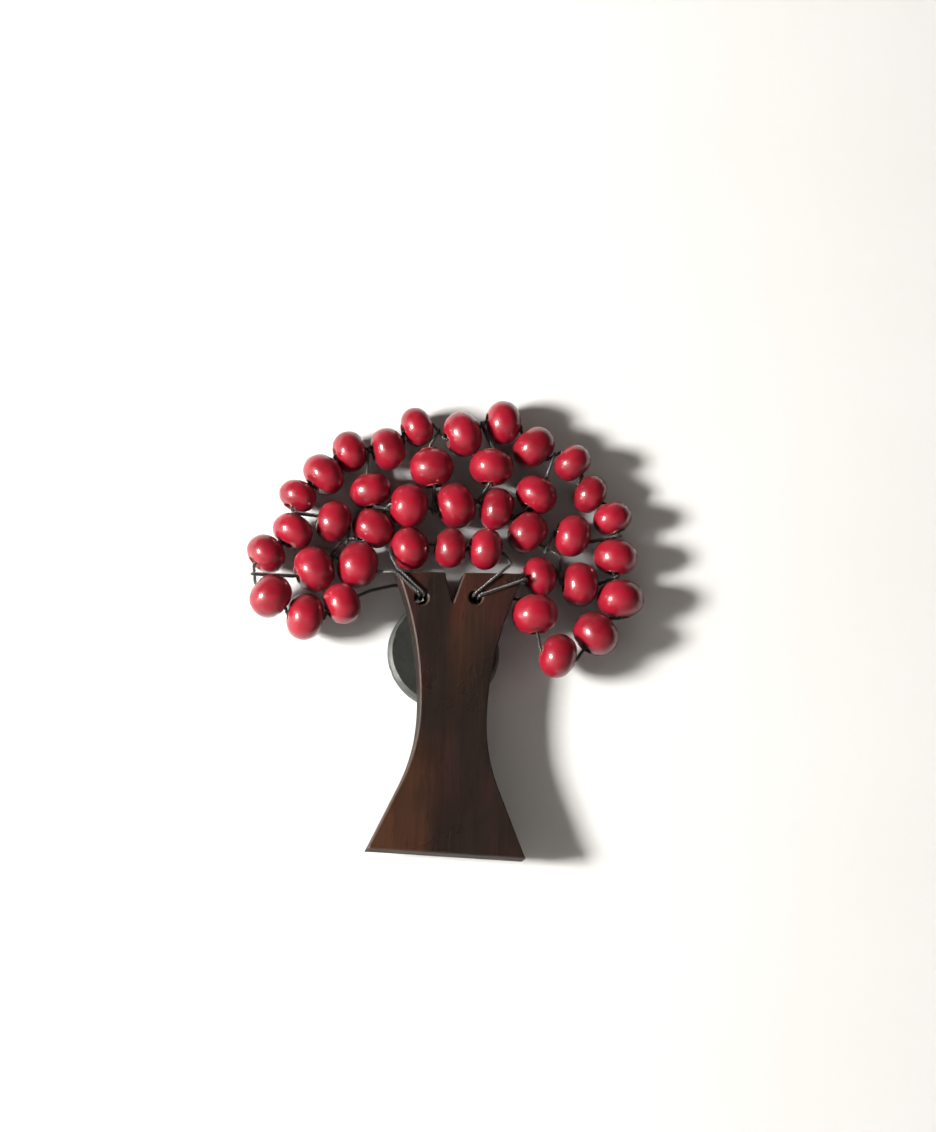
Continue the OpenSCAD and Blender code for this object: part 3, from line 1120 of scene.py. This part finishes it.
    def inner_ends(self) -> list[Vector]:
        """Where each spoke's loop passes round the arc strand."""
        arc = self.canopy.beads[Strand.ARC]
        left, right = self.arc_left, self.arc_right
        return [
            (arc[0].lead(1, self.lead_gap) + left[0]) / 2,
            (left[1] + left[2]) / 2,
            *[self.between(arc[i], arc[i + 1]) for i in range(1, 5)],
            right[0],
            (right[2] + arc[6].lead(-1, self.lead_gap)) / 2,
        ]

    def bight(self, end: Vector, start: Vector, first: int) -> list[Vector]:
        """One turn of a loop round another cord.

        Args:
            end: the middle of the cord it goes round.
            start: the point it comes from.
            first: -1 or 1, the side it comes along.

        Returns:
            The turn's points.
        """
        outward, side = (end - start).normalized(), Vector((0, 1, 0))
        angles = [math.pi * k / 6 for k in range(7)]
        return [end + self.bight_radius * (first * math.cos(a) * side + math.sin(a) * outward)
                for a in angles]

    def build_spokes(self) -> None:
        """Makes the closed loop of each spoke, through its bead and round both strands."""
        rim, leg = self.canopy.beads[Strand.RIM], Vector((0, self.leg_offset, 0))
        rows = zip(self.canopy.beads[Strand.SPOKE], self.spoke_gaps, self.inner_ends())
        for number, (bead, gap, inner) in enumerate(rows, 1):
            start, end = bead.lead(-1, self.lead_gap), bead.lead(1, self.lead_gap)
            outer = self.between(rim[gap], rim[gap + 1])
            loop = [bead.middle - leg, end - leg, *self.bight(outer, end, -1), end + leg, start + leg,
                    *self.bight(inner, start, 1), start - leg]
            self.lay(f"spoke_loop_{number}", loop, self.loop_diameter, True, f"spoke_cord_{number}")

    def build_knots(self) -> None:
        """Ties the overhand knot behind each hole, with its two cut ends."""
        for side, place, lean in (("left", self.left_knot, -0.35), ("right", self.right_knot, 0.26)):
            turns = [0.35 + (math.tau * 1.5 - 0.7) * k / 46 for k in range(47)]
            knot = [place + self.knot_point(t) for t in turns]
            tails = [place + Vector((math.sin(a), 0, math.cos(a))) * 1.75 * MM
                     for a in (lean - 0.6, lean + 0.6)]
            route = [tails[0], *knot, tails[1]]
            self.lay(f"{side}_overhand_knot", route, self.loop_diameter, False, f"{side}_knot")

    @staticmethod
    def knot_point(t: float) -> Vector:
        """A point of the pulled-down knot's curve, about its middle."""
        size = 0.21 * MM
        flat = Vector((math.sin(t) + 2 * math.sin(2 * t), -math.sin(3 * t),
                       math.cos(t) - 2 * math.cos(2 * t)))
        return flat * size


# --------------------------------------------------------------------- trunk


@dataclass
class SawnBoard:
    """The trunk: its outline read from the part, with rounded arrises and uneven faces."""

    finish: TrunkWood
    node: str = "trunk"
    spacing: float = 0.32 * MM
    grid: float = 0.75 * MM
    arris: float = 0.34 * MM
    side_steps: tuple[float, ...] = (0.035, 0.10, 0.3, 0.5, 0.7, 0.90, 0.965)
    unevenness: float = 0.05 * MM
    seed: float = 4.7

    def loops(self, solid: bpy.types.Object) -> list[np.ndarray]:
        """Reads the outline and the holes from the solid's front face.

        Args:
            solid: the trunk's CAD object.

        Returns:
            Closed loops of (x, z) points, evenly spaced.
        """
        work = bmesh.new()
        work.from_mesh(solid.data)
        bmesh.ops.remove_doubles(work, verts=work.verts, dist=0.0005 * MM)
        front = min(v.co.y for v in work.verts)
        flat = [f for f in work.faces if f.normal.y < -0.99 and abs(f.calc_center_median().y - front) < 1e-6]
        inside = set(flat)
        rims = [e for f in flat for e in f.edges if sum(g in inside for g in e.link_faces) == 1]
        ways: dict[int, list[int]] = {}
        for edge in rims:
            a, b = edge.verts[0].index, edge.verts[1].index
            ways.setdefault(a, []).append(b)
            ways.setdefault(b, []).append(a)
        places = {v.index: (v.co.x, v.co.z) for v in work.verts}
        found, seen = [], set()
        for start in ways:
            if start in seen:
                continue
            ring, here = [], start
            while here is not None and here not in seen:
                seen.add(here)
                ring.append(places[here])
                here = next((n for n in ways[here] if n not in seen), None)
            found.append(self.even(np.array(ring)))
        work.free()
        return sorted(found, key=len, reverse=True)

    def even(self, ring: np.ndarray) -> np.ndarray:
        """Spaces a loop's points evenly, keeping its corners.

        Args:
            ring: the loop's points.

        Returns:
            The new points.
        """
        out = []
        for i, point in enumerate(ring):
            after = ring[(i + 1) % len(ring)]
            steps = max(1, round(float(np.linalg.norm(after - point)) / self.spacing))
            out += [point + (after - point) * k / steps for k in range(steps)]
        kept = [out[0]]
        for point in out[1:]:
            if np.linalg.norm(point - kept[-1]) > 0.35 * self.spacing:
                kept.append(point)
        return np.array(kept)

    def cap_points(self, loops: Sequence[np.ndarray]) -> np.ndarray:
        """Points for a face: rings close inside each edge, and an open grid beyond.

        Args:
            loops: the outline and the holes.

        Returns:
            The inner points.
        """
        tree = self.edge_tree(loops)
        depths = [self.arris * (1 - math.cos(math.radians(a))) for a in (30, 55, 75, 90)] + [1.6 * self.arris]
        points = []
        for ring in loops:
            ahead, behind = np.roll(ring, -1, 0), np.roll(ring, 1, 0)
            run = ahead - behind
            square = np.stack([-run[:, 1], run[:, 0]], 1) / np.linalg.norm(run, axis=1)[:, None]
            for depth in depths:
                for side in (-1, 1):
                    moved = ring + side * depth * square
                    points += [p for p in moved
                               if tree.find((*p, 0))[2] > 0.93 * depth and self.inside(p, loops)]
        low, high = loops[0].min(0), loops[0].max(0)
        for x in np.arange(low[0], high[0], self.grid):
            for z in np.arange(low[1], high[1], self.grid):
                if tree.find((x, z, 0))[2] > 2.3 * self.arris and self.inside((x, z), loops):
                    points.append(np.array((x, z)))
        return np.array(points)

    @staticmethod
    def edge_tree(loops: Sequence[np.ndarray]) -> kdtree.KDTree:
        """A search tree of all the loops' points, with points added between them."""
        dense = np.concatenate([
            np.concatenate([r + (np.roll(r, -1, 0) - r) * k / 8 for k in range(8)]) for r in loops
        ])
        tree = kdtree.KDTree(len(dense))
        for i, p in enumerate(dense):
            tree.insert((*p, 0), i)
        tree.balance()
        return tree

    @staticmethod
    def inside(point: Sequence[float], loops: Sequence[np.ndarray]) -> bool:
        """Whether a point is on the board: inside the outline and outside the holes."""
        crossings = 0
        for ring in loops:
            a, b = ring, np.roll(ring, -1, 0)
            spans = (a[:, 1] > point[1]) != (b[:, 1] > point[1])
            with np.errstate(divide="ignore", invalid="ignore"):
                cut = a[:, 0] + (point[1] - a[:, 1]) / (b[:, 1] - a[:, 1]) * (b[:, 0] - a[:, 0])
            crossings += int((spans & (cut > point[0])).sum())
        return crossings % 2 == 1

    def build(self, solid: bpy.types.Object) -> None:
        """Makes the board and dresses it.

        Args:
            solid: the trunk's CAD object.
        """
        low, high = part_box(self.node)
        loops = self.loops(solid)
        rims = np.concatenate(loops)
        inner = self.cap_points(loops)
        flat = [Vector(p) for p in np.concatenate([rims, inner])]
        edges, first = [], 0
        for ring in loops:
            edges += [(first + i, first + (i + 1) % len(ring)) for i in range(len(ring))]
            first += len(ring)
        result = geometry.delaunay_2d_cdt(flat, edges, [], 0, 1e-9)
        verts, faces = result[0], result[2]
        keep = [f for f in faces if self.inside(sum((verts[i] for i in f), Vector((0, 0))) / 3, loops)]
        tree = self.edge_tree(loops)
        shape = bmesh.new()
        arris = shape.verts.layers.float.new("arris")
        sawn = shape.verts.layers.float.new("sawn")
        caps = []
        for face_y, out in ((low.y, -1), (high.y, 1)):
            made = []
            for v in verts:
                depth = min(tree.find((v.x, v.y, 0))[2], self.arris)
                drop = self.arris - math.sqrt(max(0.0, self.arris ** 2 - (self.arris - depth) ** 2))
                wave = noise.noise(Vector((v.x, self.seed * out, v.y)) * 140) * 0.5 + 0.5
                y = face_y - out * (drop + self.unevenness * wave * min(1.0, depth / self.arris))
                vert = shape.verts.new((v.x, y, v.y))
                vert[arris] = 1 - depth / self.arris
                made.append(vert)
            caps.append(made)
            for f in keep:
                shape.faces.new([made[i] for i in f])
        self.wall(shape, caps, result, len(rims), loops, arris, sawn)
        bmesh.ops.recalc_face_normals(shape, faces=shape.faces)
        for face in shape.faces:
            face.smooth = True
        mesh = bpy.data.meshes.new("sawn_trunk")
        shape.to_mesh(mesh)
        shape.free()
        dress(add_object("sawn_trunk", mesh), self.finish, FRAME_BODY, self.node)

    def wall(self, shape: bmesh.types.BMesh, caps: Sequence[list], result: Sequence, count: int,
             loops: Sequence[np.ndarray], arris: Any, sawn: Any) -> None:
        """Joins the two faces with the sawn sides and the walls of the holes.

        Args:
            shape: the mesh being made.
            caps: the front and the back face's points.
            result: the triangulation, which says where each rim point went.
            count: how many rim points there are.
            loops: the outline and the holes.
            arris: the layer of closeness to an arris.
            sawn: the layer of sawn surface.
        """
        where = {}
        for new, originals in enumerate(result[3]):
            for original in originals:
                if original < count:
                    where[original] = new
        first = 0
        for ring in loops:
            columns = []
            for i in range(len(ring)):
                front, back = caps[0][where[first + i]], caps[1][where[first + i]]
                column = [front]
                for t in self.side_steps:
                    place = front.co.lerp(back.co, t)
                    chatter = noise.noise(Vector((place.x, place.y * 0.4, place.z)) * 900) * 0.5 + 0.5
                    middle = Vector((ring[:, 0].mean(), place.y, ring[:, 1].mean()))
                    pull = (middle - place).normalized() * self.unevenness * 0.5 * chatter
                    vert = shape.verts.new(place + pull)
                    vert[arris] = max(0.0, 1 - min(t, 1 - t) / 0.08)
                    vert[sawn] = 1.0
                    column.append(vert)
                columns.append(column + [back])
            for i, column in enumerate(columns):
                beside = columns[(i + 1) % len(columns)]
                for a in range(len(self.side_steps) + 1):
                    shape.faces.new([column[a], column[a + 1], beside[a + 1], beside[a]])
            first += len(ring)


# -------------------------------------------------------------------- magnet


@dataclass
class DiscMagnet:
    """The ferrite disc, with a chamfer all round that has lost a few crumbs."""

    finish: Ferrite
    node: str = "magnet"
    chamfer: float = 0.5 * MM
    steps_round: int = 220
    crumb: float = 0.16 * MM

    def build(self) -> None:
        """Turns the disc about Y and dresses it."""
        low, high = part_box(self.node)
        centre, radius = (low + high) / 2, (high.x - low.x) / 2
        back, front, c = high.y, low.y, self.chamfer
        profile = [(r * radius, front, 0.0) for r in (0.25, 0.5, 0.7, 0.85)]
        profile += [(radius - 1.5 * c, front, 0.1), (radius - c, front, 0.9),
                    (radius - 0.7 * c, front + 0.3 * c, 0.9),
                    (radius - 0.3 * c, front + 0.7 * c, 0.85), (radius, front + c, 0.9),
                    (radius, front + 1.6 * c, 0.15), (radius, (front + back) / 2, 0.0),
                    (radius, back - 1.6 * c, 0.15), (radius, back - c, 0.9),
                    (radius - 0.3 * c, back - 0.7 * c, 0.85), (radius - 0.7 * c, back - 0.3 * c, 0.9),
                    (radius - c, back, 0.9), (radius - 1.5 * c, back, 0.1)]
        profile += [(r * radius, back, 0.0) for r in (0.85, 0.7, 0.5, 0.25)]
        shape = bmesh.new()
        arris = shape.verts.layers.float.new("arris")
        rings = []
        for r, y, near in profile:
            ring = []
            for i in range(self.steps_round):
                a = math.tau * i / self.steps_round
                spot = Vector((math.cos(a), math.sin(a), y * 300)) * 6.5
                chip = max(0.0, noise.noise(spot) - 0.38) * 2.2 * near
                grit = (noise.noise(spot * 7) * 0.5 + 0.5) * 0.06 * near
                reach = r - self.crumb * (chip + grit)
                vert = shape.verts.new((centre.x + reach * math.cos(a), y, centre.z + reach * math.sin(a)))
                vert[arris] = near
                ring.append(vert)
            rings.append(ring)
        for near, far in zip(rings, rings[1:]):
            for i in range(self.steps_round):
                j = (i + 1) % self.steps_round
                shape.faces.new([near[i], near[j], far[j], far[i]])
        for ring, y in ((rings[0], front), (rings[-1], back)):
            middle = shape.verts.new((centre.x, y, centre.z))
            for i in range(self.steps_round):
                shape.faces.new([ring[i], ring[(i + 1) % self.steps_round], middle])
        bmesh.ops.recalc_face_normals(shape, faces=shape.faces)
        for face in shape.faces:
            face.smooth = True
        mesh = bpy.data.meshes.new("ferrite_disc")
        shape.to_mesh(mesh)
        shape.free()
        mesh.set_sharp_from_angle(angle=math.radians(32))
        dress(add_object("ferrite_disc", mesh), self.finish, FRAME_BODY, self.node)


@dataclass
class GlueBlob:
    """The glue squeezed out between the magnet and the trunk."""

    finish: MeltGlue
    node: str = "glue_pad"
    set_back: float = 0.25 * MM
    ooze: float = 0.35 * MM
    steps_round: int = 180

    def build(self, solid: bpy.types.Object) -> None:
        """Makes the layer with a rounded, lumpy edge that stays behind the board.

        Args:
            solid: the glue's CAD object, whose outline is followed.
        """
        low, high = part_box(self.node)
        middle = (low + high) / 2
        reach = self.reach(solid, middle)
        shape = bmesh.new()
        levels = [(0.0, 0.35), (0.12, 0.75), (0.35, 0.97), (0.5, 1.0), (0.65, 0.97),
                  (0.88, 0.75), (1.0, 0.35)]
        rings = []
        for share, bulge in levels:
            ring = []
            for i, (angle, distance) in enumerate(reach):
                lumps = noise.noise(Vector((math.cos(angle), math.sin(angle), 3.3)) * 2.3) * 0.5 + 0.5
                edge = distance - self.set_back - self.ooze * (1 - bulge * (0.4 + 0.6 * lumps))
                y = low.y + share * (high.y - low.y)
                ring.append(shape.verts.new(
                    (middle.x + edge * math.cos(angle), y, middle.z + edge * math.sin(angle))))
            rings.append(ring)
        for near, far in zip(rings, rings[1:]):
            for i in range(self.steps_round):
                j = (i + 1) % self.steps_round
                shape.faces.new([near[i], near[j], far[j], far[i]])
        shape.faces.new(rings[0])
        shape.faces.new(list(reversed(rings[-1])))
        bmesh.ops.recalc_face_normals(shape, faces=shape.faces)
        for face in shape.faces:
            face.smooth = True
        mesh = bpy.data.meshes.new("glue_blob")
        shape.to_mesh(mesh)
        shape.free()
        dress(add_object("glue_blob", mesh), self.finish, FRAME_BODY, self.node)

    def reach(self, solid: bpy.types.Object, middle: Vector) -> list[tuple[float, float]]:
        """How far the glue's outline is from its middle, all the way round.

        Args:
            solid: the glue's CAD object.
            middle: the middle of its box.

        Returns:
            An angle and a distance for each step.
        """
        rims = [edge for edge in solid.data.edges]
        points = [v.co - middle for v in solid.data.vertices]
        out = []
        for i in range(self.steps_round):
            angle = math.tau * i / self.steps_round - math.pi
            way = Vector((math.cos(angle), 0, math.sin(angle)))
            side = Vector((-math.sin(angle), 0, math.cos(angle)))
            hits = []
            for edge in rims:
                a, b = points[edge.vertices[0]], points[edge.vertices[1]]
                u, v = a.dot(side), b.dot(side)
                if (u > 0) != (v > 0):
                    hits.append(a.dot(way) + u / (u - v) * (b.dot(way) - a.dot(way)))
            out.append((angle, max(hits)))
        return out


# --------------------------------------------------------------------- stage


@dataclass
class Studio:
    """Backboard, floor, window-shaped key light, soft fill lights from the sides and the camera."""

    board: PaleBoard
    ground: PaleBoard
    aim: Vector = field(default_factory=lambda: Vector((2.68, -6.5, 13.6)) * MM)
    distance: float = 450 * MM
    azimuth: float = -8.0
    elevation: float = -13.0
    roll: float = 2.67
    lens: float = 88.73
    board_size: float = 1.6
    floor_z: float = -0.16

    def camera_axes(self) -> tuple[Vector, Vector, Vector]:
        """The camera's right, up and backward directions."""
        a, e = math.radians(self.azimuth), math.radians(self.elevation)
        back = Vector((math.sin(a) * math.cos(e), -math.cos(a) * math.cos(e), math.sin(e)))
        right = (-back).cross(Vector((0, 0, 1))).normalized()
        up = right.cross(-back)
        t = math.radians(self.roll)
        return right * math.cos(t) + up * math.sin(t), up * math.cos(t) - right * math.sin(t), back

    def place_camera(self) -> None:
        """Makes the camera."""
        right, up, back = self.camera_axes()
        data = bpy.data.cameras.new("camera")
        data.lens, data.sensor_width = self.lens, 36.0
        data.clip_start, data.clip_end = 0.01, 20.0
        camera = bpy.data.objects.new("camera", data)
        turn = Matrix((right, up, back)).transposed().to_4x4()
        camera.matrix_world = Matrix.Translation(self.aim + back * self.distance) @ turn
        bpy.context.scene.collection.objects.link(camera)
        bpy.context.scene.camera = camera

    def plane(self, name: str, corners: Sequence[Vector], finish: PaleBoard) -> bpy.types.Object:
        """Makes a flat stage board.

        Args:
            name: the board's name.
            corners: its corners, anticlockwise from its front.
            finish: its finish.

        Returns:
            The board.
        """
        mesh = bpy.data.meshes.new(name)
        mesh.from_pydata(corners, [], [range(4)])
        mesh.materials.append(finish.material())
        made = add_object(name, mesh)
        return made

    def set_stage(self) -> None:
        """Sets up the backboard that the magnet sits on, and the floor."""
        s, gap = self.board_size / 2, 0.02 * MM
        wall = self.plane("backboard", [Vector(p) for p in (
            (-s, gap, self.floor_z), (s, gap, self.floor_z), (s, gap, s), (-s, gap, s))], self.board)
        wall.visible_shadow = False
        self.plane("floor", [Vector(p) for p in (
            (-s, -s, self.floor_z), (s, -s, self.floor_z), (s, s, self.floor_z), (-s, s, self.floor_z))],
            self.ground)

    def lamp(self, name: str, place: Vector, size: tuple[float, float], power: float, colour: Sequence[float],
             roll: float = 0.0) -> bpy.types.Object:
        """Adds a rectangular soft light that faces the tree.

        Args:
            name: the light's name.
            place: where it stands.
            size: its width and height.
            power: in watts.
            colour: its tint.
            roll: its turn about its own axis, in degrees.

        Returns:
            The light's object.
        """
        data = bpy.data.lights.new(name, "AREA")
        data.shape = "RECTANGLE"
        data.size, data.size_y = size
        data.energy = power
        data.color = colour
        lamp = bpy.data.objects.new(name, data)
        facing = (self.aim - place).to_track_quat("-Z", "Y").to_matrix().to_4x4()
        lamp.matrix_world = Matrix.Translation(place) @ facing @ Matrix.Rotation(math.radians(roll), 4, "Z")
        bpy.context.scene.collection.objects.link(lamp)
        return lamp

    def light(self) -> None:
        """Hangs the window-shaped key light and the soft fill."""
        right, up, back = self.camera_axes()
        key = (-0.66 * right - 0.20 * up + 0.72 * back).normalized() * 0.7
        across = key.cross(up).normalized()
        tall = key + across * 0.07 + up * 0.04
        foot = key - across * 0.05 - up * 0.10
        daylight = (1.0, 0.985, 0.97)
        self.lamp("window_tall", self.aim + tall, (0.115, 0.43), 56.0, daylight)
        self.lamp("window_foot", self.aim + foot, (0.33, 0.125), 40.0, daylight)
        sides = (
            ("fill_right", 1.0 * right + 0.35 * back, 1.3),
            ("fill_top", 1.0 * up + 0.35 * back, 1.3),
            ("fill_bottom", -1.0 * up + 0.45 * back, 0.8),
        )
        for name, way, power in sides:
            soft = self.lamp(name, self.aim + way.normalized() * 0.9, (0.6, 0.6), power, (1.0, 0.90, 0.84))
            soft.visible_glossy = False

    def surround(self) -> None:
        """Sets a dim room that looks white to the camera."""
        world = bpy.data.worlds.new("room")
        bpy.context.scene.world = world
        world.use_nodes = True
        world.node_tree.nodes.clear()
        graph = Graph(world.node_tree)
        dim = graph.out("ShaderNodeBackground", 0, {"Color": (1.0, 0.90, 0.82, 1.0), "Strength": 0.04})
        white = graph.out("ShaderNodeBackground", 0, {"Color": (1.0, 1.0, 1.0, 1.0), "Strength": 0.95})
        seen = graph.out("ShaderNodeLightPath", "Is Camera Ray")
        graph.node(
            "ShaderNodeOutputWorld",
            {0: graph.out("ShaderNodeMixShader", 0, {0: seen, 1: dim, 2: white})})
        bpy.context.scene.view_settings.view_transform = "Standard"


# ---------------------------------------------------------------------- main


def main() -> None:
    """Loads the part, builds every piece in order and sets up the studio."""
    logging.basicConfig(level=logging.INFO, format="%(name)s: %(message)s")
    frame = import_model()
    canopy = BeadCanopy(BeadLathe(), BeadLacquer("Red bead lacquer", Slot.BEAD))
    canopy.gather(frame)
    log.info("beads: %d turned", canopy.build())
    cords = CordWork(CordTwister(), WaxedCord("Waxed cord", Slot.CORD), canopy)
    cords.build_strands()
    log.info("strands: rim, arc and crown laid")
    cords.build_spokes()
    log.info("spokes: %d loops laid", len(canopy.beads[Strand.SPOKE]))
    cords.build_knots()
    log.info("knots: tied behind both holes")
    SawnBoard(TrunkWood("Dark trunk wood", Slot.TRUNK)).build(frame["nodes"]["trunk"])
    log.info("trunk: sawn and rounded")
    DiscMagnet(Ferrite("Ground ferrite", Slot.MAGNET)).build()
    log.info("magnet: turned")
    GlueBlob(MeltGlue("Melt glue", Slot.GLUE)).build(frame["nodes"]["glue_pad"])
    log.info("glue: squeezed")
    studio = Studio(PaleBoard("Pale backboard", see_through_back=True), PaleBoard("Pale floor"))
    studio.place_camera()
    studio.set_stage()
    studio.light()
    studio.surround()
    log.info("studio: set")


if __name__ == "__main__":
    main()
